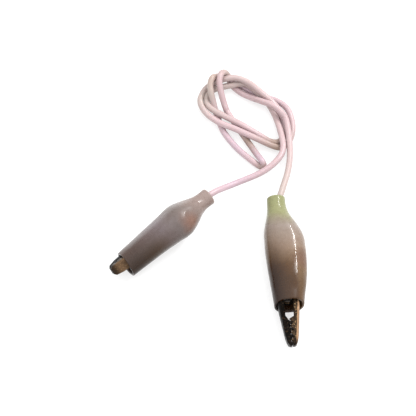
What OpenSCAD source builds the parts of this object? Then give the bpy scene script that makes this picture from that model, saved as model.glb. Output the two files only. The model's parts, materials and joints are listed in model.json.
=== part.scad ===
// Alligator clip lead: an insulated test lead, loosely knotted, with a
// spring-loaded jaw clip in a soft vinyl boot at each end.
// Millimetres, +Z up. The lead lies on the plane z = 0, and the origin is on that
// plane below the middle of the two clips.
//
// Each clip is drawn in its own frame: x runs forward to the tips, the pivot is at
// the origin, the moving jaw is on the +y side and z is the pivot's axis.

/* [Clip] */
// Distance from the pivot to the jaw tips
nose_len = 12; // [11:0.5:13]
// Distance from the pivot to the end of the moving handle
handle_len = 8.5; // [7:0.5:9]
// Thickness of the pressed sheet steel
sheet_t = 0.4; // [0.3:0.05:0.5]
// Distance from one tooth to the next
tooth_pitch = 1.6; // [1.4:0.1:1.8]
// Radius of the hole for the rivet in every ear
pivot_hole_r = 0.8; // [0.7:0.05:0.9]
// Radius of the rivet's shank
pivot_pin_r = 0.75; // [0.6:0.05:0.75]
// Outer radius of the crimp barrel
barrel_r = 1.25; // [1.1:0.05:1.3]

/* [Lead] */
// Radius of the insulated cord
cord_r = 0.75; // [0.7:0.05:0.85]
// Radius of the stranded copper core
core_r = 0.42; // [0.3:0.02:0.44]

/* [Boots] */
// Wall thickness of the vinyl boots
boot_wall = 0.5; // [0.4:0.05:0.55]
// Where the right boot's mouth stands, forward of the pivot
right_mouth_x = 2.4; // [2:0.2:3]
// Where the left boot's mouth stands, forward of the pivot
left_mouth_x = 8.5; // [8.1:0.1:8.8]

/* [Lie of the clips] */
// Heading of the right clip
right_yaw = -85.3; // [-86:0.1:-84]
// Heading of the left clip
left_yaw = -140.4; // [-141:0.1:-139]
// How far the left clip is rolled from lying flat
left_roll = 50; // [40:5:60]
// How far the right clip points down
right_dip = 3.4; // [3:0.1:4]
// How far the left clip points down
left_dip = 3; // [2.5:0.1:3.5]

/* [Hidden] */
$fn = 48;

copper = "#a8735a";
dark_copper = "#5b4031";
steel = "#8d8a86";
vinyl_grey = "#8f8280";
vinyl_brown = "#7a6656";
cord_white = "#e6d6d6";
bright_copper = "#c67f52";

// Pivot positions of the two clips
right_pivot = [18.0, -6.8, 3.25];
left_pivot = [-12.8, 6.6, 4.22];

// ---- the pressed jaws ----

// Outside of a jaw as [x, y], from the tip back to the handle's end
tip_outline = [[nose_len, 0.1], [nose_len, 0.55], [nose_len - 0.35, 0.95],
               [nose_len - 1, 1.25], [nose_len - 2, 1.48]];
function back_outline(handle_y) = [[3.2, 2.4], [0.5, 2.65], [-3, 2.7], [-handle_len, handle_y]];
// Edge of the side walls as [x, y], from the handle's end forward to the teeth
handle_edge = [[-handle_len, 2.0], [-3, 1.2], [0, 1.0], [3, 1.1], [5.2, 1.05]];
first_tooth = 6;
tooth_count = 3;
tooth_depth = 0.5;
tooth_height = 0.28;
tooth_half_flat = 0.1;
mesh_gap = 0.04;

// Half width of both handles, and the height of each handle's back
handle_z = 1.9;
moving_handle_y = 3.4;
fixed_handle_y = 2.8;

// Half widths and radii of the ears at the pivot
moving_ear = 1.4;
moving_ear_r = 1.6;
fixed_ear = 1.85;
fixed_ear_r = 1.8;

// The row of teeth as [x, y], for the jaw on the +y side when side is 1 and for its
// mirror image when side is -1: where one jaw has a tooth the other has a valley
function tooth_tops(side) = [
    for (i = [0 : 2 * tooth_count])
        let (x = first_tooth + i * tooth_pitch / 2, up = i % 2 == 0 ? -1 : 1)
        let (y = side * up < 0 ? -tooth_height : tooth_depth)
        for (dx = [-tooth_half_flat, tooth_half_flat]) [x + dx, y + mesh_gap]
];

// Side walls' outline of one jaw
function jaw_side(side, handle_y) = concat(tip_outline, back_outline(handle_y),
    handle_edge, tooth_tops(side), [[nose_len - 0.7, 0.08]]);

// Inside of the pressing seen from the side, open towards the other jaw
function jaw_hollow(handle_y) = concat(
    [[nose_len - sheet_t, -4], [nose_len - sheet_t, 0.4]],
    [for (p = [tip_outline[3], tip_outline[4]]) p - [sheet_t, sheet_t]],
    [for (p = back_outline(handle_y)) p - [0, sheet_t]],
    [[-handle_len - 1, handle_y - sheet_t], [-handle_len - 1, -4]]);

// Half width of a jaw as [x, z], where ear is its half width at the pivot
function jaw_plan(ear) = [[nose_len, 0.7], [nose_len - 0.5, 1.2], [nose_len - 2, 1.35],
                          [5, 1.5], [2, ear], [-2.4, ear], [-4, handle_z],
                          [-handle_len, handle_z]];

// A closed outline from one half and its mirror image
function both_sides(half) = concat(half, [for (i = [len(half) - 1 : -1 : 0])
                                          [half[i][0], -half[i][1]]]);

module side_slab(outline) {
    translate([0, 0, -5])
        linear_extrude(height = 10)
            polygon(outline);
}

module plan_slab(half) {
    rotate([90, 0, 0])
        translate([0, 0, -8])
            linear_extrude(height = 16)
                polygon(both_sides(half));
}

// Turned body that rounds the bends of the pressing, shrunk by inset
module bend_body(inset, handle_y) {
    handle_r = handle_y + 0.3 - inset;
    rotate([0, 90, 0])
        rotate_extrude()
            polygon([[0, -12], [handle_r, -12], [handle_r, -handle_len],
                     [3.05 - inset, -3], [2.85 - inset, 0], [2.4 - inset, 5],
                     [1.85 - inset, 10], [1.3 - inset, nose_len], [0, nose_len]]);
}

// One jaw on the +y side, with ears of the given half width and radius
module pressed_jaw(side, ear, ear_r, handle_y) {
    difference() {
        union() {
            intersection() {
                side_slab(jaw_side(side, handle_y));
                plan_slab(jaw_plan(ear));
                bend_body(0, handle_y);
            }
            translate([0, 0, -ear])
                cylinder(r = ear_r, h = 2 * ear);
        }
        intersection() {
            side_slab(jaw_hollow(handle_y));
            plan_slab([for (p = jaw_plan(ear)) [p[0] - (p[0] > 11 ? sheet_t : -0.01),
                                                p[1] - sheet_t]]);
            bend_body(sheet_t, handle_y);
        }
        translate([-2.4, -4, sheet_t - ear])
            cube([4.8, 6.2, 2 * (ear - sheet_t)]);
        translate([0, 0, -5])
            cylinder(r = pivot_hole_r, h = 10);
    }
}

module moving_jaw() {
    pressed_jaw(1, moving_ear, moving_ear_r, moving_handle_y);
}

barrel_start = -11.2;
barrel_end = -14.8;

// The strap that runs from the fixed handle up into the crimp barrel
module barrel_strap() {
    front = 0.01 - handle_len;
    side = [[front, -fixed_handle_y], [-9.2, -2.6], [-11.4, -barrel_r],
            [-12.4, -barrel_r], [-12.4, -0.5], [-11.3, -0.5], [-9.2, -1.9], [front, -2.0]];
    plan = [[front, handle_z], [-9.2, 1.8], [-11.2, 1.05], [-12.4, 1.0]];
    inner_side = [[front + 1, sheet_t - fixed_handle_y - 0.05], [front, sheet_t - fixed_handle_y],
                  [-9.1, sheet_t - 2.6], [-11.2, sheet_t - barrel_r], [-11.2, 2], [front + 1, 2]];
    difference() {
        intersection() {
            side_slab(side);
            plan_slab(plan);
        }
        intersection() {
            side_slab(inner_side);
            plan_slab(concat([[front + 1, handle_z - sheet_t]],
                             [for (p = plan) p - [0, sheet_t]]));
        }
    }
}

module fixed_jaw() {
    difference() {
        union() {
            mirror([0, 1, 0])
                pressed_jaw(-1, fixed_ear, fixed_ear_r, fixed_handle_y);
            barrel_strap();
            translate([barrel_end, 0, 0])
                rotate([0, 90, 0])
                    cylinder(r = barrel_r, h = barrel_start - barrel_end);
        }
        translate([barrel_end - 1, 0, 0])
            rotate([0, 90, 0])
                cylinder(r = core_r + 0.05, h = barrel_start - barrel_end + 2);
    }
}

module pivot_rivet() {
    head = [[0, fixed_ear + 0.35], [0.5, fixed_ear + 0.33], [0.9, fixed_ear + 0.24],
            [1.2, fixed_ear + 0.05], [1.2, fixed_ear], [pivot_pin_r, fixed_ear]];
    rotate_extrude()
        polygon(concat(head, [for (i = [len(head) - 1 : -1 : 0])
                              [head[i][0], -head[i][1]]]));
}

// ---- swept tubes ----

function unit(v) = v / norm(v);
function tangent(p, i) = unit(p[min(i + 1, len(p) - 1)] - p[max(i - 1, 0)]);

// One sideways direction for each point, carried along without twisting
function carried(p, start, i = 0, done = []) = i == len(p) ? done :
    let (before = i == 0 ? start : done[i - 1], t = tangent(p, i))
    carried(p, start, i + 1, concat(done, [unit(before - (before * t) * t)]));

function ring(centre, side, along, r, sides) = let (other = cross(along, side))
    [for (k = [0 : sides - 1]) let (a = 360 * (k + 0.5) / sides)
        centre + r * (cos(a) * side + sin(a) * other)];

function rings_along(p, r, sides, start) = let (side = carried(p, start))
    [for (i = [0 : len(p) - 1]) ring(p[i], side[i], tangent(p, i), r, sides)];

// Faces between ring i and ring j of a skin
function band(i, j, sides) = [for (k = [0 : sides - 1]) let (n = (k + 1) % sides)
    each [[i * sides + k, i * sides + n, j * sides + n],
          [i * sides + k, j * sides + n, j * sides + k]]];

module solid_sweep(rings) {
    sides = len(rings[0]);
    last = len(rings) - 1;
    polyhedron(points = [for (r = rings) each r],
        faces = concat([for (i = [0 : last - 1]) each band(i + 1, i, sides)],
                       [[for (k = [0 : sides - 1]) k]],
                       [[for (k = [sides - 1 : -1 : 0]) last * sides + k]]));
}

// A skin whose rings run along the outside and back along the inside
module hollow_sweep(outer, inner) {
    sides = len(outer[0]);
    rings = concat(outer, [for (i = [len(inner) - 1 : -1 : 0]) inner[i]]);
    count = len(rings);
    polyhedron(points = [for (r = rings) each r],
        faces = [for (i = [0 : count - 1]) each band((i + 1) % count, i, sides)]);
}

// ---- the torsion spring ----

spring_wire_r = 0.22;
spring_r = 1.15;
spring_turns = 3;
spring_leg = 6;
spring_z = 0.7;

// Turns round the rivet, with a straight leg lying in each handle
function spring_route() = let (steps = 10 * spring_turns + 5)
    concat([[-spring_leg, 2.35, -spring_z]],
           [for (i = [0 : steps]) let (a = 90 - 36 * i)
               [spring_r * cos(a), spring_r * sin(a), spring_z * (2 * i / steps - 1)]],
           [[-spring_leg, -2.05, spring_z]]);

module jaw_spring() {
    solid_sweep(rings_along(spring_route(), spring_wire_r, 6, [0, 0, 1]));
}

// ---- the vinyl boots ----

// Half height, half width and sideways shift of a boot at each distance from its
// neck's end. The right boot sits where it was moulded to sit; the left one has been
// pushed forward, so that its belly has moved up to the handles' ends.
right_shape = [[0, 1.8, 1.75, -0.3], [0.35, 2.1, 2.05, -0.3], [3, 2.3, 2.15, -0.3],
               [4.5, 2.65, 2.5, -0.2], [6, 3.25, 3.0, 0], [7.5, 3.85, 3.4, 0.2],
               [9, 4.35, 3.7, 0.4], [10.5, 4.6, 3.85, 0.6], [13, 4.7, 3.85, 0.65],
               [17, 4.55, 3.65, 0.65], [20, 4.3, 3.5, 0.6], [22, 4.05, 3.35, 0.5],
               [24, 3.75, 3.2, 0.35], [26.2, 3.45, 3.05, 0.2], [26.5, 3.35, 2.95, 0.2]];
left_shape = [[0, 1.75, 1.75, 0], [0.3, 2.05, 2.05, 0], [2.8, 2.12, 2.08, 0],
              [4.5, 2.75, 2.5, 0.1], [6, 3.5, 3.0, 0.25], [7.5, 4.15, 3.5, 0.4],
              [9, 4.6, 3.85, 0.5], [10.2, 4.65, 3.88, 0.5], [12, 4.5, 3.68, 0.45],
              [14, 4.35, 3.5, 0.4], [17, 4.15, 3.32, 0.3], [20, 3.9, 3.18, 0.3],
              [23, 3.65, 3.07, 0.2], [25.2, 3.5, 3.0, 0.15], [25.5, 3.4, 2.9, 0.15]];
boot_sides = 28;
neck_bore_r = 1.45;
// How far back the mouth's slant reaches
slant_reach = 8;

// Roundness of the section: 2 is an ellipse, more is squarer
function squareness(half) = half < 2.3 ? 2 : half < 3.3 ? 2.2 : 2.4;
function bulge(c, n) = sign(c) * pow(abs(c), 2 / n);

// One ring of a boot. slant is how far a point on its section moves forward for each
// millimetre of its y and z.
function boot_ring(s, x, inset, sway, slant) =
    let (n = squareness(s[1]), y = max(s[1] - inset, inset > 0 ? neck_bore_r : 0),
         z = max(s[2] - inset, inset > 0 ? neck_bore_r : 0))
    [for (k = [0 : boot_sides - 1])
        let (a = 360 * k / boot_sides, py = y * bulge(cos(a), n), pz = z * bulge(sin(a), n))
        [x + slant * [py, pz], s[3] + py, sway + pz]];

// The boot's mouth is at mouth_x, bends aside by sway and is cut at a slant
module vinyl_boot(shape, mouth_x, sway, slant) {
    boot_len = shape[len(shape) - 1][0];
    sides = [for (inset = [0, boot_wall])
        [for (s = shape)
            boot_ring(s, mouth_x - boot_len + s[0], inset, sway * pow(s[0] / boot_len, 2),
                      slant * pow(max(0, 1 - (boot_len - s[0]) / slant_reach), 2))]];
    hollow_sweep(sides[0], sides[1]);
}

module right_vinyl() {
    vinyl_boot(right_shape, right_mouth_x, 0, [0, -0.26]);
}

module left_vinyl() {
    vinyl_boot(left_shape, left_mouth_x, -0.7, [0.022, -0.073]);
}

// ---- the lie of the clips ----

module place_right() {
    translate(right_pivot)
        rotate([0, 0, right_yaw])
            rotate([0, right_dip, 0])
                children();
}

module place_left() {
    translate(left_pivot)
        rotate([0, 0, left_yaw])
            rotate([0, left_dip, 0])
                rotate([left_roll, 0, 0])
                    children();
}

module left_fixed_jaw() { color(dark_copper) place_left() fixed_jaw(); }
module left_moving_jaw() { color(copper) place_left() moving_jaw(); }
module left_pivot_rivet() { color(steel) place_left() pivot_rivet(); }
module left_jaw_spring() { color(steel) place_left() jaw_spring(); }
module left_boot() { color(vinyl_grey) place_left() left_vinyl(); }
module right_fixed_jaw() { color(dark_copper) place_right() fixed_jaw(); }
module right_moving_jaw() { color(copper) place_right() moving_jaw(); }
module right_pivot_rivet() { color(steel) place_right() pivot_rivet(); }
module right_jaw_spring() { color(steel) place_right() jaw_spring(); }
module right_boot() { color(vinyl_brown) place_right() right_vinyl(); }

// ---- the cord ----

// From inside the left barrel, round the knot and into the right barrel
route = [[-3.7, 14.1, 4.85], [-1.4, 16, 5], [1.4, 18.6, 4.6], [6.2, 21.8, 2.5], [12.7, 24.8, 2.6],
         [16.8, 28.4, 2.8], [17.9, 32.2, 2.5], [16.8, 38.8, 1.3], [15.3, 43, 0.85],
         [13.6, 45.1, 1.6], [11.4, 47.3, 2.1], [9.2, 49, 2.1], [6.6, 48.9, 2.1], [1.4, 47.4, 2.2],
         [-0.3, 45, 2.2], [0.8, 42.1, 2.2], [7.7, 38, 2.1], [11.7, 35.8, 1.3], [14.9, 33.9, 0.85],
         [17, 33.8, 0.85], [18.3, 35.5, 0.85], [18.4, 38.2, 0.85], [17.7, 41, 1], [16, 43.4, 2.1],
         [12.2, 46.6, 3.4], [9.6, 48.8, 3.4], [6.8, 49.8, 3.7], [4.2, 49.6, 3.7], [1.8, 49.1, 2.9],
         [-0.6, 47.5, 2.4], [-1.9, 44.4, 2.2], [-0.7, 41.2, 2.2], [2.4, 38.5, 2.2],
         [6.8, 36.4, 2.3], [11, 34.3, 2.2], [16.4, 32.2, 1.2], [18.9, 33.1, 0.85], [20.2, 36, 0.85],
         [20.3, 39.2, 0.85], [19.3, 42.7, 0.85], [16.9, 44.9, 0.85], [11.7, 47, 0.85],
         [7.7, 49.5, 0.9], [5.3, 50.1, 2.5], [3.3, 50.9, 2.5], [2, 50.2, 3.8], [1, 48.9, 5.3],
         [0.5, 47.2, 5], [0.7, 45.4, 4.1], [1.2, 43.9, 2.6], [1.8, 42, 0.9], [2.4, 40.2, 0.85],
         [3.8, 36.4, 0.85], [6.8, 32.2, 0.85], [10.2, 28.9, 0.85], [12.4, 27.2, 0.85],
         [13.2, 27.1, 1.5], [12.7, 28.3, 1.9], [11, 31.3, 1.1], [5.4, 40.6, 0.85], [4.1, 43, 1.8],
         [3.1, 45.6, 4], [2.7, 48, 5.4], [3.2, 50.1, 5.4], [4.2, 51.2, 3.8], [5, 51.3, 1.7],
         [5.6, 49.7, 0.85], [8, 47.3, 0.85], [10.7, 45.5, 1.5], [13, 43.7, 3], [15.4, 42.2, 3.9],
         [17.5, 40.7, 3.2], [18.9, 38.4, 2.3], [19.5, 30.8, 2.4], [18.9, 25, 3.3],
         [17.3, 19.2, 4.5], [16.6, 16, 4.7], [16.8, 7.9, 4.1], [17, 4.9, 3.95]];
jacket_line = [for (i = [1 : len(route) - 2]) route[i]];

module cord_jacket() {
    color(cord_white)
        hollow_sweep(rings_along(jacket_line, cord_r, 8, [0, 0, 1]),
                     rings_along(jacket_line, core_r + 0.04, 8, [0, 0, 1]));
}

module copper_core() {
    color(bright_copper)
        solid_sweep(rings_along(route, core_r, 8, [0, 0, 1]));
}

left_fixed_jaw();
left_moving_jaw();
left_pivot_rivet();
left_jaw_spring();
left_boot();
right_fixed_jaw();
right_moving_jaw();
right_pivot_rivet();
right_jaw_spring();
right_boot();
cord_jacket();
copper_core();
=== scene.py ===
"""Looks of the alligator clip lead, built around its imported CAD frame. Metres, +Z up.

Each clip has its own frame, as in the CAD: x runs forward to the tips, the pivot is at the
origin, the moving jaw is on the +y side and z is the pivot's axis. Shapes are written in
millimetres and scaled by MM.
"""
import json
import math

import bmesh
import bpy
import numpy as np
from mathutils import Matrix, Vector


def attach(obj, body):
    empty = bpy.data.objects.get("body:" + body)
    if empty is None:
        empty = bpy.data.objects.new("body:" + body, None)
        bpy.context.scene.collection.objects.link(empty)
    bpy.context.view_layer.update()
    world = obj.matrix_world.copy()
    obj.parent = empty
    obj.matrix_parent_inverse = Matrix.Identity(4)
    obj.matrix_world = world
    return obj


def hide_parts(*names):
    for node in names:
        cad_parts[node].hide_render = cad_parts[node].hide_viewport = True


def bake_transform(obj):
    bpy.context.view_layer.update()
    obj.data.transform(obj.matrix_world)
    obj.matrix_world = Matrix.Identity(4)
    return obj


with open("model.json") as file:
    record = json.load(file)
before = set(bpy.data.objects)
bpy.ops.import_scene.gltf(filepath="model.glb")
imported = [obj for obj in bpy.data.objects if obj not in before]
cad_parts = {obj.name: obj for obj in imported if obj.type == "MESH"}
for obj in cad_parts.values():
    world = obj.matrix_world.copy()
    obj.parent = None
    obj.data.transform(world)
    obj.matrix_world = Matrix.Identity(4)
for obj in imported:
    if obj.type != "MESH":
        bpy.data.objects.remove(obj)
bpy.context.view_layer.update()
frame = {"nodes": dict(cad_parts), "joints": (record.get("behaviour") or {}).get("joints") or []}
scene = bpy.context.scene
scene.view_settings.view_transform = "Standard"

MM = 0.001
JOINTS = {j["name"]: j for j in frame["joints"]}

# ---- camera ----

AIM = Vector((-0.05, 16.64, 0)) * MM
ELEVATION = math.radians(65)
DISTANCE = 0.3436

camera = bpy.data.objects.new("camera", bpy.data.cameras.new("camera"))
scene.collection.objects.link(camera)
camera.data.lens = 126
camera.data.clip_start = 0.01
camera.location = AIM + DISTANCE * Vector((0, -math.cos(ELEVATION), math.sin(ELEVATION)))
camera.rotation_euler = (math.pi / 2 - ELEVATION, 0, 0)
scene.camera = camera


# ---- meshes ----

def new_piece(name, points, faces, smooth=True):
    """A mesh object in the scene."""
    mesh = bpy.data.meshes.new(name)
    mesh.from_pydata([tuple(p) for p in points], [], faces)
    mesh.update()
    for face in mesh.polygons:
        face.use_smooth = smooth
    piece = bpy.data.objects.new(name, mesh)
    scene.collection.objects.link(piece)
    return piece


def skin(name, rings, closed):
    """A skin over rings of points. A closed one joins its last ring to its first, and any
    other is capped at both ends."""
    count, sides = len(rings), len(rings[0])
    faces = []
    for i in range(count if closed else count - 1):
        j = (i + 1) % count
        for k in range(sides):
            n = (k + 1) % sides
            faces.append((i * sides + k, i * sides + n, j * sides + n, j * sides + k))
    if not closed:
        faces.append(tuple(range(sides - 1, -1, -1)))
        faces.append(tuple((count - 1) * sides + k for k in range(sides)))
    return new_piece(name, np.concatenate(rings), faces)


def give_places(piece, places):
    """Stores a place in millimetres at every point, which the materials read."""
    layer = piece.data.attributes.new("place", "FLOAT_VECTOR", "POINT")
    layer.data.foreach_set("vector", np.concatenate(places).astype(np.float32).ravel())


def outward(piece):
    """Turns every face of a closed mesh to look outward."""
    work = bmesh.new()
    work.from_mesh(piece.data)
    bmesh.ops.recalc_face_normals(work, faces=work.faces)
    work.to_mesh(piece.data)
    work.free()


def smooth_route(points, parts):
    """Points along one smooth curve through a route, each stretch cut in parts."""
    p = np.array(points, float)
    p = np.vstack([2 * p[0] - p[1], p, 2 * p[-1] - p[-2]])
    t = (np.arange(parts) / parts)[:, None]
    line = []
    for a, b, c, d in zip(p, p[1:], p[2:], p[3:]):
        line.append(0.5 * (2 * b + (c - a) * t + (2 * a - 5 * b + 4 * c - d) * t ** 2
                           + (3 * b - a - 3 * c + d) * t ** 3))
    return np.vstack(line + [p[-2:-1]])


def carried_sides(line):
    """The tangent, and two sideways directions carried along a line without twisting."""
    along = np.gradient(line, axis=0)
    along /= np.linalg.norm(along, axis=1)[:, None]
    side = np.array([0.0, 0.0, 1.0])
    sides = []
    for t in along:
        side = side - side.dot(t) * t
        side = side / np.linalg.norm(side)
        sides.append(side)
    sides = np.array(sides)
    return along, sides, np.cross(along, sides)


def tube_rings(line, radius, sides):
    """Rings round a line. radius is one number, or a function of distance and angle."""
    along, one, other = carried_sides(line)
    gone = np.concatenate([[0], np.cumsum(np.linalg.norm(np.diff(line, axis=0), axis=1))])
    angle = 2 * math.pi * np.arange(sides) / sides
    rings, places = [], []
    for i, centre in enumerate(line):
        r = radius(gone[i], angle) if callable(radius) else np.full(sides, radius)
        across = np.cos(angle)[:, None] * one[i] + np.sin(angle)[:, None] * other[i]
        rings.append(centre + r[:, None] * across)
        places.append(np.column_stack([np.full(sides, gone[i]), r * np.cos(angle),
                                       r * np.sin(angle)]))
    return rings, places


# ---- the cord ----

CORD_R = 0.75
CORE_R = 0.42
CORE_GAP = 0.03
CORD_SIDES = 20
CORE_SIDES = 24
STRAND_DEPTH = 0.06
STRAND_TWIST = 0.9
ROUTE = [(-3.7, 14.1, 4.85), (-1.4, 16, 5), (1.4, 18.6, 4.6), (6.2, 21.8, 2.5), (12.7, 24.8, 2.6),
         (16.8, 28.4, 2.8), (17.9, 32.2, 2.5), (16.8, 38.8, 1.3), (15.3, 43, 0.85),
         (13.6, 45.1, 1.6), (11.4, 47.3, 2.1), (9.2, 49, 2.1), (6.6, 48.9, 2.1), (1.4, 47.4, 2.2),
         (-0.3, 45, 2.2), (0.8, 42.1, 2.2), (7.7, 38, 2.1), (11.7, 35.8, 1.3), (14.9, 33.9, 0.85),
         (17, 33.8, 0.85), (18.3, 35.5, 0.85), (18.4, 38.2, 0.85), (17.7, 41, 1), (16, 43.4, 2.1),
         (12.2, 46.6, 3.4), (9.6, 48.8, 3.4), (6.8, 49.8, 3.7), (4.2, 49.6, 3.7), (1.8, 49.1, 2.9),
         (-0.6, 47.5, 2.4), (-1.9, 44.4, 2.2), (-0.7, 41.2, 2.2), (2.4, 38.5, 2.2),
         (6.8, 36.4, 2.3), (11, 34.3, 2.2), (16.4, 32.2, 1.2), (18.9, 33.1, 0.85), (20.2, 36, 0.85),
         (20.3, 39.2, 0.85), (19.3, 42.7, 0.85), (16.9, 44.9, 0.85), (11.7, 47, 0.85),
         (7.7, 49.5, 0.9), (5.3, 50.1, 2.5), (3.3, 50.9, 2.5), (2, 50.2, 3.8), (1, 48.9, 5.3),
         (0.5, 47.2, 5), (0.7, 45.4, 4.1), (1.2, 43.9, 2.6), (1.8, 42, 0.9), (2.4, 40.2, 0.85),
         (3.8, 36.4, 0.85), (6.8, 32.2, 0.85), (10.2, 28.9, 0.85), (12.4, 27.2, 0.85),
         (13.2, 27.1, 1.5), (12.7, 28.3, 1.9), (11, 31.3, 1.1), (5.4, 40.6, 0.85), (4.1, 43, 1.8),
         (3.1, 45.6, 4), (2.7, 48, 5.4), (3.2, 50.1, 5.4), (4.2, 51.2, 3.8), (5, 51.3, 1.7),
         (5.6, 49.7, 0.85), (8, 47.3, 0.85), (10.7, 45.5, 1.5), (13, 43.7, 3), (15.4, 42.2, 3.9),
         (17.5, 40.7, 3.2), (18.9, 38.4, 2.3), (19.5, 30.8, 2.4), (18.9, 25, 3.3),
         (17.3, 19.2, 4.5), (16.6, 16, 4.7), (16.8, 7.9, 4.1), (17, 4.9, 3.95)]
# How many pieces of smooth curve stand for each stretch of the route
PARTS = 8

whole_line = smooth_route(ROUTE, PARTS)
cord_line = whole_line[PARTS:-PARTS]

outer, outer_places = tube_rings(cord_line, CORD_R, CORD_SIDES)
inner, inner_places = tube_rings(cord_line, CORE_R + CORE_GAP, CORD_SIDES)
cord = skin("cord", [r * MM for r in outer + inner[::-1]], closed=True)
give_places(cord, outer_places + inner_places[::-1])
outward(cord)
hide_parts("cord_jacket")
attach(cord, "lead")


def strand_radius(distance, angle):
    """Seven twisted strands seen from outside: six lobes that turn with the lay."""
    lobe = np.abs(np.cos(3 * (angle + distance * STRAND_TWIST)))
    return CORE_R * (1 - STRAND_DEPTH + STRAND_DEPTH * lobe)


core_rings, core_places = tube_rings(whole_line[::2], strand_radius, CORE_SIDES)
core = skin("core_strands", [r * MM for r in core_rings], closed=False)
give_places(core, core_places)
outward(core)
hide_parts("copper_core")
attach(core, "lead")


# ---- the two clips ----

def clip_place(joint, yaw, dip, roll):
    """From a clip's own frame in millimetres to the row frame, about its joint."""
    turn = (Matrix.Rotation(math.radians(yaw), 4, "Z") @ Matrix.Rotation(math.radians(dip), 4, "Y")
            @ Matrix.Rotation(math.radians(roll), 4, "X"))
    return Matrix.Translation(Vector(JOINTS[joint]["pos_m"])) @ turn @ Matrix.Scale(MM, 4)


CLIPS = {
    "right": {"body": "right_moving_jaw",
              "place": clip_place("right_jaw_hinge", -85.3, 3.4, 0)},
    "left": {"body": "left_moving_jaw",
             "place": clip_place("left_jaw_hinge", -140.4, 3, 50)},
}


def placed(clip, ring):
    """A ring of points in a clip's own frame, in the row frame."""
    m = np.array(clip["place"])
    return ring @ m[:3, :3].T + m[:3, 3]


# Each row: distance from the neck's end, half height, half width and sideways shift
RIGHT_SHAPE = np.array([
    [0, 2.1, 2.05, -0.3], [3, 2.3, 2.15, -0.3], [4.5, 2.65, 2.5, -0.2], [6, 3.25, 3.0, 0],
    [7.5, 3.85, 3.4, 0.2], [9, 4.35, 3.7, 0.4], [10.5, 4.6, 3.85, 0.6], [13, 4.7, 3.85, 0.65],
    [17, 4.55, 3.65, 0.65], [20, 4.3, 3.5, 0.6], [22, 4.05, 3.35, 0.5], [24, 3.75, 3.2, 0.35],
    [26.5, 3.42, 3.02, 0.2]])
LEFT_SHAPE = np.array([
    [0, 2.05, 2.05, 0], [2.8, 2.12, 2.08, 0], [4.5, 2.75, 2.5, 0.1], [6, 3.5, 3.0, 0.25],
    [7.5, 4.15, 3.5, 0.4], [9, 4.6, 3.85, 0.5], [10.2, 4.65, 3.88, 0.5], [12, 4.5, 3.68, 0.45],
    [14, 4.35, 3.5, 0.4], [17, 4.15, 3.32, 0.3], [20, 3.9, 3.18, 0.3], [23, 3.65, 3.07, 0.2],
    [25.5, 3.47, 2.98, 0.15]])
# A section is an ellipse up to this half height, and squarer over the next SQUARE_OVER
ROUND_UP_TO = 2.2
SQUARE_OVER = 1.4
SQUARENESS = 0.4
BOOT_WALL = 0.5
BOOT_SIDES = 72
SLANT_REACH = 8
NECK_R = 2.05
NECK_BORE_R = 1.45
NECK_ROUND = 0.4
NECK_BORE_LEN = 3
LIP_ROUND = 0.16
# The cord's hole, and where the bore starts to narrow down to it
HOLE_R = 0.85
HOLE_FROM = 1.6
HOLE_LEN = 1.3
HOLE_EDGE = 0.1
# How many rings go round a lip, along the outside and along the inside
LIP_RINGS = 7
OUTER_RINGS = 100
INNER_RINGS = 90


def through(table, column, x):
    """A column of a shape table at x, on one smooth curve through its rows."""
    xs, ys = table[:, 0], table[:, column]
    slope = np.gradient(ys, xs)
    i = int(np.clip(np.searchsorted(xs, x) - 1, 0, len(xs) - 2))
    h = xs[i + 1] - xs[i]
    t = (x - xs[i]) / h
    return ((2 * t ** 3 - 3 * t ** 2 + 1) * ys[i] + (t ** 3 - 2 * t ** 2 + t) * h * slope[i]
            + (3 * t ** 2 - 2 * t ** 3) * ys[i + 1] + (t ** 3 - t ** 2) * h * slope[i + 1])


def boot_section(table, s, inset, mouth_x, sway, slant):
    """One ring of a boot at distance s from its neck's end, and its place. slant is how far
    the mouth moves forward for each millimetre of y and z."""
    length = table[-1][0]
    half_y, half_z, shift = (through(table, c, s) for c in (1, 2, 3))
    grown = min(max((half_y - ROUND_UP_TO) / SQUARE_OVER, 0), 1)
    n = 2 + SQUARENESS * grown * grown * (3 - 2 * grown)
    angle = 2 * math.pi * np.arange(BOOT_SIDES) / BOOT_SIDES
    c, d = np.cos(angle), np.sin(angle)
    y = (half_y - inset) * np.sign(c) * np.abs(c) ** (2 / n)
    z = (half_z - inset) * np.sign(d) * np.abs(d) ** (2 / n)
    aside = sway * (s / length) ** 2
    lean = max(0, 1 - (length - s) / SLANT_REACH) ** 2 * (slant[0] * y + slant[1] * z)
    ring = np.column_stack([mouth_x - length + s + lean, shift + y, aside + z])
    return ring, np.column_stack([np.full(BOOT_SIDES, s), shift + y, z])


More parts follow.
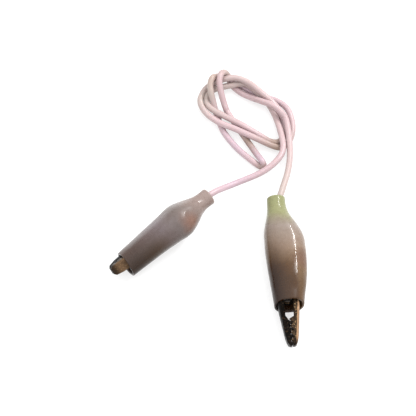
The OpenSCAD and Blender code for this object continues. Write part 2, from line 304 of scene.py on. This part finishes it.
def make_boot(name, side, table, mouth_x, sway, slant, hole_y):
    """hole_y is how far the cord's hole in the neck's end lies from the neck's own middle."""
    clip = CLIPS[side]
    length = table[-1][0]
    lip = LIP_ROUND
    quarter = np.linspace(0, math.pi / 2, LIP_RINGS)
    # Each ring's distance from the neck's end, how deep it lies below the outside, and its
    # share of hole_y: over the outside, round the lip, back inside and out by the hole
    rows = [(NECK_ROUND * (1 - math.cos(a)), NECK_ROUND * (1 - math.sin(a)), 0)
            for a in quarter]
    rows += [(s, 0, 0) for s in np.linspace(NECK_ROUND, length - lip, OUTER_RINGS)[1:]]
    rows += [(length - lip * (1 - math.sin(a)), lip * (1 - math.cos(a)), 0) for a in quarter[1:]]
    rows += [(length - lip * (1 - math.cos(a)), BOOT_WALL - lip * (1 - math.sin(a)), 0)
             for a in quarter[:-1]]
    rows += [(s, NECK_R - NECK_BORE_R if s < NECK_BORE_LEN else BOOT_WALL, 0)
             for s in np.linspace(length - lip, HOLE_FROM, INNER_RINGS)]
    for t in np.linspace(0, 1, LIP_RINGS)[1:]:
        eased = t * t * (3 - 2 * t)
        rows.append((HOLE_FROM - HOLE_LEN * t,
                     NECK_R - NECK_BORE_R + (NECK_BORE_R - HOLE_R) * eased, eased))
    rows.append((HOLE_EDGE, NECK_R - HOLE_R, 1))
    rings, places = [], []
    for s, inset, share in rows:
        ring, place = boot_section(table, s, inset, mouth_x, sway, slant)
        ring[:, 1] += share * hole_y
        rings.append(placed(clip, ring))
        places.append(place)
    boot = skin(name, rings, closed=True)
    give_places(boot, places)
    outward(boot)
    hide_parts(side + "_boot")
    return boot


right_boot = make_boot("right_boot_shell", "right", RIGHT_SHAPE, mouth_x=2.4, sway=0,
                       slant=(0, -0.26), hole_y=0.75)
left_boot = make_boot("left_boot_shell", "left", LEFT_SHAPE, mouth_x=8.5, sway=-0.7,
                      slant=(0.022, -0.073), hole_y=-0.2)

SPRING_WIRE_R = 0.22
SPRING_R = 1.15
SPRING_TURNS = 3.5
SPRING_LEG = 6
SPRING_LEG_Y = (2.35, -2.05)
SPRING_Z = 0.7
TURN_STEPS = 36
LEG_STEPS = 24
WIRE_SIDES = 12


def make_spring(side):
    """A torsion spring round the rivet, with a leg back along each handle."""
    steps = round(TURN_STEPS * SPRING_TURNS)
    coil = []
    for i in range(steps + 1):
        a = math.radians(90 - 360 / TURN_STEPS * i)
        coil.append((SPRING_R * math.cos(a), SPRING_R * math.sin(a),
                     SPRING_Z * (2 * i / steps - 1)))
    first = np.linspace((-SPRING_LEG, SPRING_LEG_Y[0], -SPRING_Z), coil[0], LEG_STEPS)[:-1]
    last = np.linspace(coil[-1], (-SPRING_LEG, SPRING_LEG_Y[1], SPRING_Z), LEG_STEPS)[1:]
    line = np.vstack([first, coil, last])
    rings, places = tube_rings(line, SPRING_WIRE_R, WIRE_SIDES)
    spring = skin(side + "_spring", [placed(CLIPS[side], r) for r in rings], closed=False)
    give_places(spring, places)
    outward(spring)
    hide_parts(side + "_jaw_spring")
    return spring


springs = {side: make_spring(side) for side in CLIPS}


# ---- the jaws and rivets keep their CAD shapes, with their pressed edges rounded ----

JAW_EDGE = 0.07
RIVET_EDGE = 0.05
EDGE_ANGLE = math.radians(35)
WELD_WITHIN = 0.001


def round_edges(piece, width):
    """Rounds the sharp edges of a CAD piece by width, and smooths the rest."""
    weld = piece.modifiers.new("weld", "WELD")
    weld.merge_threshold = WELD_WITHIN * MM
    bevel = piece.modifiers.new("edges", "BEVEL")
    bevel.width = width * MM
    bevel.segments = 2
    bevel.limit_method = "ANGLE"
    bevel.angle_limit = EDGE_ANGLE
    for face in piece.data.polygons:
        face.use_smooth = True
    normals = piece.modifiers.new("normals", "WEIGHTED_NORMAL")
    normals.keep_sharp = True


# ---- materials ----

def colour(r, g, b):
    """A display colour, 0 to 255, as the linear one that shaders take."""
    def linear(c):
        c = c / 255
        return c / 12.92 if c <= 0.04045 else ((c + 0.055) / 1.055) ** 2.4
    return (linear(r), linear(g), linear(b), 1)


class Paint:
    """A node material, and short names for the nodes that it is made of."""

    def __init__(self, name):
        self.material = bpy.data.materials.new(name)
        self.material.use_nodes = True
        self.tree = self.material.node_tree
        self.shader = self.tree.nodes["Principled BSDF"]

    def add(self, kind, **settings):
        made = self.tree.nodes.new(kind)
        for key, value in settings.items():
            setattr(made, key, value)
        return made

    def join(self, source, target):
        self.tree.links.new(source, target)

    def place(self):
        """The stored place of a point, in millimetres."""
        return self.add("ShaderNodeAttribute", attribute_name="place").outputs["Vector"]

    def object_mm(self):
        """Object coordinates, in millimetres."""
        coords = self.add("ShaderNodeTexCoord")
        scaled = self.add("ShaderNodeVectorMath", operation="SCALE")
        scaled.inputs["Scale"].default_value = 1 / MM
        self.join(coords.outputs["Object"], scaled.inputs[0])
        return scaled.outputs["Vector"]

    def stretched(self, vector, amounts):
        by = self.add("ShaderNodeVectorMath", operation="MULTIPLY")
        by.inputs[1].default_value = amounts
        self.join(vector, by.inputs[0])
        return by.outputs["Vector"]

    def part(self, vector, letter):
        split = self.add("ShaderNodeSeparateXYZ")
        self.join(vector, split.inputs[0])
        return split.outputs[letter]

    def noise(self, vector, scale, detail=3, rough=0.55):
        made = self.add("ShaderNodeTexNoise")
        made.inputs["Scale"].default_value = scale
        made.inputs["Detail"].default_value = detail
        made.inputs["Roughness"].default_value = rough
        self.join(vector, made.inputs["Vector"])
        return made.outputs["Fac"]

    def ranged(self, value, low, high, to_low=0.0, to_high=1.0):
        made = self.add("ShaderNodeMapRange", interpolation_type="SMOOTHSTEP")
        for name, number in (("From Min", low), ("From Max", high), ("To Min", to_low),
                             ("To Max", to_high)):
            made.inputs[name].default_value = number
        self.join(value, made.inputs["Value"])
        return made.outputs["Result"]

    def sum(self, a, b, times=1.0):
        """a + b * times"""
        made = self.add("ShaderNodeMath", operation="MULTIPLY_ADD")
        made.inputs[1].default_value = times
        self.join(b, made.inputs[0])
        self.join(a, made.inputs[2])
        return made.outputs[0]

    def times(self, a, b):
        made = self.add("ShaderNodeMath", operation="MULTIPLY")
        self.join(a, made.inputs[0])
        self.join(b, made.inputs[1])
        return made.outputs[0]

    def ramp(self, value, stops):
        """stops are (position, colour)."""
        made = self.add("ShaderNodeValToRGB")
        elements = made.color_ramp.elements
        elements[0].position, elements[0].color = stops[0]
        elements[1].position, elements[1].color = stops[-1]
        for position, shade in stops[1:-1]:
            elements.new(position).color = shade
        self.join(value, made.inputs["Fac"])
        return made.outputs["Color"]

    def mix(self, factor, a, b, kind="MIX"):
        """a and b are colours or outputs."""
        made = self.add("ShaderNodeMix", data_type="RGBA", blend_type=kind)
        self.join(factor, made.inputs["Factor"])
        for value, socket in ((a, made.inputs[6]), (b, made.inputs[7])):
            if isinstance(value, tuple):
                socket.default_value = value
            else:
                self.join(value, socket)
        return made.outputs[2]

    def bump(self, height, strength, distance):
        made = self.add("ShaderNodeBump")
        made.inputs["Strength"].default_value = strength
        made.inputs["Distance"].default_value = distance * MM
        self.join(height, made.inputs["Height"])
        self.join(made.outputs["Normal"], self.shader.inputs["Normal"])

    def set(self, **values):
        for name, value in values.items():
            self.shader.inputs[name.replace("_", " ")].default_value = value

    def into(self, source, name):
        self.join(source, self.shader.inputs[name])

    def on(self, *pieces):
        for piece in pieces:
            piece.data.materials.clear()
            piece.data.materials.append(self.material)


PINK, LILAC, CREAM = (180, 156, 159), (175, 152, 162), (169, 155, 148)
# tan and brown stand for painted shade, not the cord's own colour
SHADE_TAN, SHADE_BROWN = (160, 139, 129), (138, 117, 104)
# The cord's tones at points of its route, counted from 0: pink, lilac and cream are its own, tan is
# painted shade in its two hooks, and brown is painted shade in the bight and where it passes under
# other turns
CORD_TONES_AND_SHADE = [(0, PINK), (3, LILAC), (5, PINK), (14, CREAM), (16, PINK), (17.2, PINK),
              (18.2, SHADE_BROWN), (21, PINK), (30, CREAM), (32, PINK), (33.8, PINK), (35, SHADE_BROWN),
              (38, PINK), (41, LILAC), (43, PINK), (45.5, SHADE_TAN), (48, CREAM), (50, PINK),
              (53, LILAC), (54.4, PINK), (55.6, SHADE_BROWN), (56.8, LILAC), (57.5, LILAC),
              (58.2, SHADE_BROWN), (58.8, PINK), (62, PINK), (63.8, SHADE_TAN), (66, PINK), (72, PINK),
              (75, CREAM), (78, CREAM)]


def cord_paint():
    """Pinkish white insulation, with painted shade in tan in its tight hooks and in brown in its
    bight and where it passes under other turns.
    """
    p = Paint("cord_pvc")
    place = p.place()
    run = p.part(place, "X")
    mottle = p.noise(p.stretched(place, (0.08, 0.5, 0.5)), 1.0, 2)
    gone = np.concatenate([[0], np.cumsum(np.linalg.norm(np.diff(whole_line, axis=0), axis=1))])
    start, total = gone[PARTS], gone[-1 - PARTS] - gone[PARTS]
    stops = [(min(max((gone[round(i * PARTS)] - start) / total, 0), 1), colour(*tone))
             for i, tone in CORD_TONES_AND_SHADE]
    along = p.add("ShaderNodeMath", operation="MULTIPLY")
    along.inputs[1].default_value = 1 / total
    p.join(run, along.inputs[0])
    # the ramp's tan and brown stops are painted shade in the hooks, the bight and under other turns
    tint = p.ramp(along.outputs[0], stops)
    tint = p.mix(p.ranged(mottle, 0.35, 0.65, 0, 0.3), tint, colour(164, 142, 142))
    specks = p.noise(place, 1.7, 4, 0.7)
    tint = p.mix(p.ranged(specks, 0.62, 0.8, 0, 0.4), tint, colour(140, 118, 106))
    p.into(tint, "Base Color")
    p.into(p.ranged(p.noise(place, 0.6), 0.3, 0.7, 0.34, 0.5), "Roughness")
    p.set(IOR=1.5, Coat_Weight=0.1, Coat_Roughness=0.25, Subsurface_Weight=0.15,
          Subsurface_Scale=0.0004, Subsurface_Radius=(1.0, 0.7, 0.6))
    p.bump(p.noise(p.stretched(place, (1.2, 1, 1)), 2.2, 3), 0.25, 0.03)
    return p


def core_paint():
    """Bare copper strands."""
    p = Paint("core_copper")
    place = p.place()
    p.into(p.mix(p.noise(place, 2.0), colour(206, 122, 78), colour(160, 88, 56)), "Base Color")
    p.into(p.ranged(p.noise(place, 5.0), 0.3, 0.7, 0.22, 0.42), "Roughness")
    p.set(Metallic=1.0)
    return p


# How far the boots' tones run, and how far the cloud shifts them on average
BOOT_RUN = 25
CLOUD_MEAN = 1.2


def boot_paint(name, tones, steel, dark_side, painted_glow_at, painted_glow_tone):
    """Smoky vinyl. Its tone runs along the boot from its neck to its mouth, partly the vinyl's own
    tint and partly painted shade, darker towards the mouth where the dark inside shows through. It
    has more painted shade where the steel handles lie inside the wall and on the side away from the
    light, and painted warm light where the end of the moving handle shows through. steel is where
    the handles' ends lie, how far out they reach in y, and how much they show. dark_side is a
    direction in y and z, and glow is the place of the warm spot."""
    p = Paint(name)
    place = p.place()
    split = p.add("ShaderNodeSeparateXYZ")
    p.join(place, split.inputs[0])
    along, y, z = (split.outputs[letter] for letter in "XYZ")
    cloud = p.noise(p.stretched(place, (0.5, 1, 1)), 0.32, 3)
    run = p.sum(along, cloud, 2.4)
    tone = p.ramp(p.ranged(run, CLOUD_MEAN, BOOT_RUN + CLOUD_MEAN),
                  [(s / BOOT_RUN, colour(*shade)) for s, shade in tones])
    # painted shade where the steel handles lie inside the translucent wall
    handle_end, reach, strength = steel
    steel_shade = p.times(p.ranged(p.sum(along, cloud, 1.5), handle_end - 0.8, handle_end + 3.2,
                              0, strength),
                     p.times(p.ranged(y, reach + 1.2, reach), p.ranged(y, -4.6, -2.4)))
    tone = p.mix(steel_shade, tone, colour(192, 168, 126), "MULTIPLY")
    # the side away from the light
    facing = p.add("ShaderNodeVectorMath", operation="DOT_PRODUCT")
    p.join(place, facing.inputs[0])
    facing.inputs[1].default_value = (0, *dark_side)
    shade = p.times(p.ranged(facing.outputs["Value"], -2.6, 3.6), p.ranged(along, 6, 20, 0.1, 1))
    tone = p.mix(shade, tone, colour(142, 114, 66), "MULTIPLY")
    # painted warm light where the end of the moving handle shows through the vinyl
    off = p.add("ShaderNodeVectorMath", operation="DISTANCE")
    p.join(place, off.inputs[0])
    off.inputs[1].default_value = painted_glow_at
    tone = p.mix(p.ranged(p.sum(off.outputs["Value"], cloud, 1.5), 4.1, 1.4, 0, 0.55), tone,
                 colour(*painted_glow_tone))
    fine = p.noise(place, 1.3, 4, 0.6)
    tone = p.mix(p.ranged(fine, 0.4, 0.7, 0, 0.25), tone, colour(196, 180, 170), "MULTIPLY")
    p.into(tone, "Base Color")
    p.into(p.ranged(p.noise(place, 0.8), 0.3, 0.7, 0.22, 0.34), "Roughness")
    p.set(IOR=1.45, Specular_IOR_Level=0.2, Coat_Weight=0.4, Coat_Roughness=0.03,
          Coat_IOR=1.4, Transmission_Weight=0.2)
    ripple = p.noise(p.stretched(place, (1, 0.7, 0.7)), 0.24, 0)
    p.bump(ripple, 0.6, 1.5)
    return p


# Each boot's tones from its neck: the vinyl's own tint, and painted shade darkening towards the
# mouth where the dark inside shows through
RIGHT_TINT_AND_SHADE = [(0, (142, 144, 102)), (2.2, (142, 142, 102)), (4.2, (140, 130, 112)),
               (6, (144, 130, 121)), (9, (142, 126, 114)), (12, (138, 119, 105)),
               (15, (133, 111, 93)), (18, (124, 101, 79)), (21, (112, 87, 61)),
               (25, (94, 70, 46))]
LEFT_TINT_AND_SHADE = [(0, (150, 132, 126)), (3, (134, 118, 112)), (6, (120, 109, 105)),
              (9, (120, 109, 107)), (12, (120, 110, 111)), (16, (126, 115, 121)),
              (20, (110, 97, 99)), (25, (84, 66, 60))]


# Where a jaw's back lies: its y is BACK_HEIGHT - BACK_SLOPE * x
BACK_SLOPE = 0.1353
BACK_HEIGHT = 2.833
# The painted highlight of shiny copper fades in over these distances from the back, and the dark
# tip over these x
BEND_WIDTH = (-0.5, -0.3)
TIP_DARK = (10.6, 12)
# Grime, plating and spots of wear, mixed by noise; the fixed jaws' shades are much darker. The
# moving jaws' third, pale shade also stands in for glints on the teeth: painted highlights.
MOVING_SHADES = ((34, 27, 20), (62, 49, 37), (150, 122, 90))
FIXED_SHADES = ((5, 4, 3), (12, 9, 7), (58, 44, 32))
# How strongly each clip's moving jaw has the painted highlight of shiny copper on its back
MOVING_COPPER_HIGHLIGHT = {"right": 0.9, "left": 0.3}


def jaw_paint(name, clip, bright, shades, metal):
    """Copper plating gone brown, with a painted highlight of shiny copper along the back of the jaw
    and over the bend beside it. bright is how strong that highlight is, and metal how metallic it
    is where it is cleanest."""
    p = Paint(name)
    coords = p.add("ShaderNodeTexCoord")
    where = p.object_mm()
    up = p.add("ShaderNodeVectorMath", operation="DOT_PRODUCT")
    p.join(coords.outputs["Normal"], up.inputs[0])
    axis = np.array(clip["place"])[:3, 1] / MM
    up.inputs[1].default_value = tuple(axis)
    grime = p.noise(where, 0.9, 5, 0.65)
    tarnish_and_glint = p.noise(where, 3.5, 3)
    tone = p.mix(p.ranged(grime, 0.38, 0.62), colour(*shades[0]), colour(*shades[1]))
    tone = p.mix(p.ranged(tarnish_and_glint, 0.55, 0.7), tone, colour(*shades[2]))
    # painted highlight: shiny copper on the jaw's back, and over the bend beside it, where it
    # catches the light
    place = np.array(clip["place"].inverted())
    back = p.add("ShaderNodeVectorMath", operation="DOT_PRODUCT")
    p.join(where, back.inputs[0])
    back.inputs[1].default_value = tuple((place[1, :3] + BACK_SLOPE * place[0, :3]) * MM)
    offset = place[1, 3] + BACK_SLOPE * place[0, 3] - BACK_HEIGHT
    by_back = p.ranged(p.sum(back.outputs["Value"], grime, 0.25), BEND_WIDTH[0] - offset,
                       BEND_WIDTH[1] - offset)
    copper_highlight = p.add("ShaderNodeMath", operation="MAXIMUM")
    p.join(p.ranged(p.sum(up.outputs["Value"], grime, 0.3), 0.8, 1.0), copper_highlight.inputs[0])
    p.join(by_back, copper_highlight.inputs[1])
    share = p.add("ShaderNodeMath", operation="MULTIPLY")
    p.join(copper_highlight.outputs[0], share.inputs[0])
    share.inputs[1].default_value = bright
    tone = p.mix(share.outputs[0], tone,
                 p.mix(tarnish_and_glint, colour(178, 144, 112), colour(128, 96, 70)))
    # the tip stays dark
    front = p.add("ShaderNodeVectorMath", operation="DOT_PRODUCT")
    p.join(where, front.inputs[0])
    front.inputs[1].default_value = tuple(place[0, :3] * MM)
    tone = p.mix(p.ranged(p.sum(front.outputs["Value"], grime, 1.0), TIP_DARK[0] - place[0, 3],
                          TIP_DARK[1] - place[0, 3], 0, 0.8), tone, colour(26, 21, 18))
    p.into(tone, "Base Color")
    p.into(p.ranged(grime, 0.35, 0.65, 0.55, 0.3), "Roughness")
    p.into(p.ranged(grime, 0.3, 0.6, metal / 2, metal), "Metallic")
    p.set(Specular_IOR_Level=0.1)
    p.bump(p.sum(grime, tarnish_and_glint, 0.5), 0.35, 0.05)
    return p


def steel_paint(name, shade, rough):
    """Plain steel, dulled in patches."""
    p = Paint(name)
    where = p.object_mm()
    p.into(p.mix(p.ranged(p.noise(where, 1.5, 4), 0.4, 0.65), colour(*shade),
                 colour(104, 92, 84)), "Base Color")
    p.into(p.ranged(p.noise(where, 4.0, 3), 0.3, 0.7, rough, rough + 0.2), "Roughness")
    p.set(Metallic=1.0)
    p.bump(p.noise(where, 5.0, 3), 0.2, 0.02)
    return p


cord_paint().on(cord)
core_paint().on(core)
boot_paint("right_vinyl", RIGHT_TINT_AND_SHADE, steel=(15.6, 1.9, 1.0), dark_side=(-1, 0),
           painted_glow_at=(16.4, 4.1, 2.4), painted_glow_tone=(104, 70, 58)).on(right_boot)
boot_paint("left_vinyl", LEFT_TINT_AND_SHADE, steel=(8.5, 3.2, 0.25), dark_side=(0.64, -0.76),
           painted_glow_at=(8.6, 3.7, -0.2), painted_glow_tone=(138, 92, 70)).on(left_boot)
for side, clip in CLIPS.items():
    moving = jaw_paint(side + "_moving_plating", clip, bright=MOVING_COPPER_HIGHLIGHT[side],
                       shades=MOVING_SHADES, metal=0.9)
    fixed = jaw_paint(side + "_fixed_plating", clip, bright=0, shades=FIXED_SHADES, metal=0.8)
    moving.on(frame["nodes"][side + "_moving_jaw"])
    fixed.on(frame["nodes"][side + "_fixed_jaw"])
    round_edges(frame["nodes"][side + "_moving_jaw"], JAW_EDGE)
    round_edges(frame["nodes"][side + "_fixed_jaw"], JAW_EDGE)
    round_edges(frame["nodes"][side + "_pivot_rivet"], RIVET_EDGE)
steel_paint("rivet_steel", (178, 172, 164), 0.25).on(
    *[frame["nodes"][side + "_pivot_rivet"] for side in CLIPS])
steel_paint("spring_steel", (150, 146, 140), 0.2).on(*springs.values())


# ---- soft pieces that cross their hinges, with their placements baked in ----

def across_hinge(piece):
    """Bakes the piece's placement into its points."""
    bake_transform(piece)


across_hinge(right_boot)
across_hinge(left_boot)
for side, spring in springs.items():
    across_hinge(spring)


# ---- floor and light ----

FLOOR_HALF = 1.5
FLOOR_DROP = 0.00002
LIGHT_DISTANCE = 0.7
HORIZON_LIGHT = 0.85
OVERHEAD_LIGHT = 1.75


def make_floor():
    """A white light table, which has a little light of its own."""
    ends = (-FLOOR_HALF, FLOOR_HALF)
    points = [(x, y, 0) for y in ends for x in ends]
    floor = new_piece("floor", points, [(0, 1, 3, 2)], smooth=False)
    floor.location.z = -FLOOR_DROP
    p = Paint("floor_white")
    fleck = p.noise(p.object_mm(), 0.02, 2)
    p.into(p.mix(fleck, (0.38, 0.38, 0.38, 1), (0.4, 0.4, 0.4, 1)), "Base Color")
    p.set(Roughness=0.9, Specular_IOR_Level=0.1, Emission_Color=(1, 1, 1, 1),
          Emission_Strength=0.62)
    p.on(floor)


def area_light(name, direction, size, power):
    """A rectangle of light that looks at AIM. Its second side runs as near to Y as it can."""
    light = bpy.data.lights.new(name, "AREA")
    light.shape = "RECTANGLE"
    light.size, light.size_y = size
    light.energy = power
    lamp = bpy.data.objects.new(name, light)
    scene.collection.objects.link(lamp)
    way = Vector(direction).normalized()
    across = Vector((0, 1, 0)).cross(way).normalized()
    turn = Matrix((across, way.cross(across), way)).transposed()
    lamp.location = AIM + way * LIGHT_DISTANCE
    lamp.rotation_euler = turn.to_euler()
    return lamp


make_floor()
soft_top = area_light("soft_top", direction=(0.3, 0.5, 0.8), size=(0.7, 0.7), power=0.5)
soft_top.visible_glossy = False
area_light("window", direction=(0.50, 0.42, 0.73), size=(0.036, 0.44), power=3.6)


def make_world():
    """A white dome that is brighter overhead than near the horizon."""
    world = bpy.data.worlds.new("studio")
    world.use_nodes = True
    tree = world.node_tree
    coords = tree.nodes.new("ShaderNodeTexCoord")
    split = tree.nodes.new("ShaderNodeSeparateXYZ")
    height = tree.nodes.new("ShaderNodeMapRange")
    height.inputs["To Min"].default_value = HORIZON_LIGHT
    height.inputs["To Max"].default_value = OVERHEAD_LIGHT
    tree.links.new(coords.outputs["Generated"], split.inputs[0])
    tree.links.new(split.outputs["Z"], height.inputs["Value"])
    tree.links.new(height.outputs["Result"], tree.nodes["Background"].inputs["Strength"])
    tree.nodes["Background"].inputs["Color"].default_value = (1, 1, 1, 1)
    scene.world = world


make_world()

bpy.context.view_layer.update()
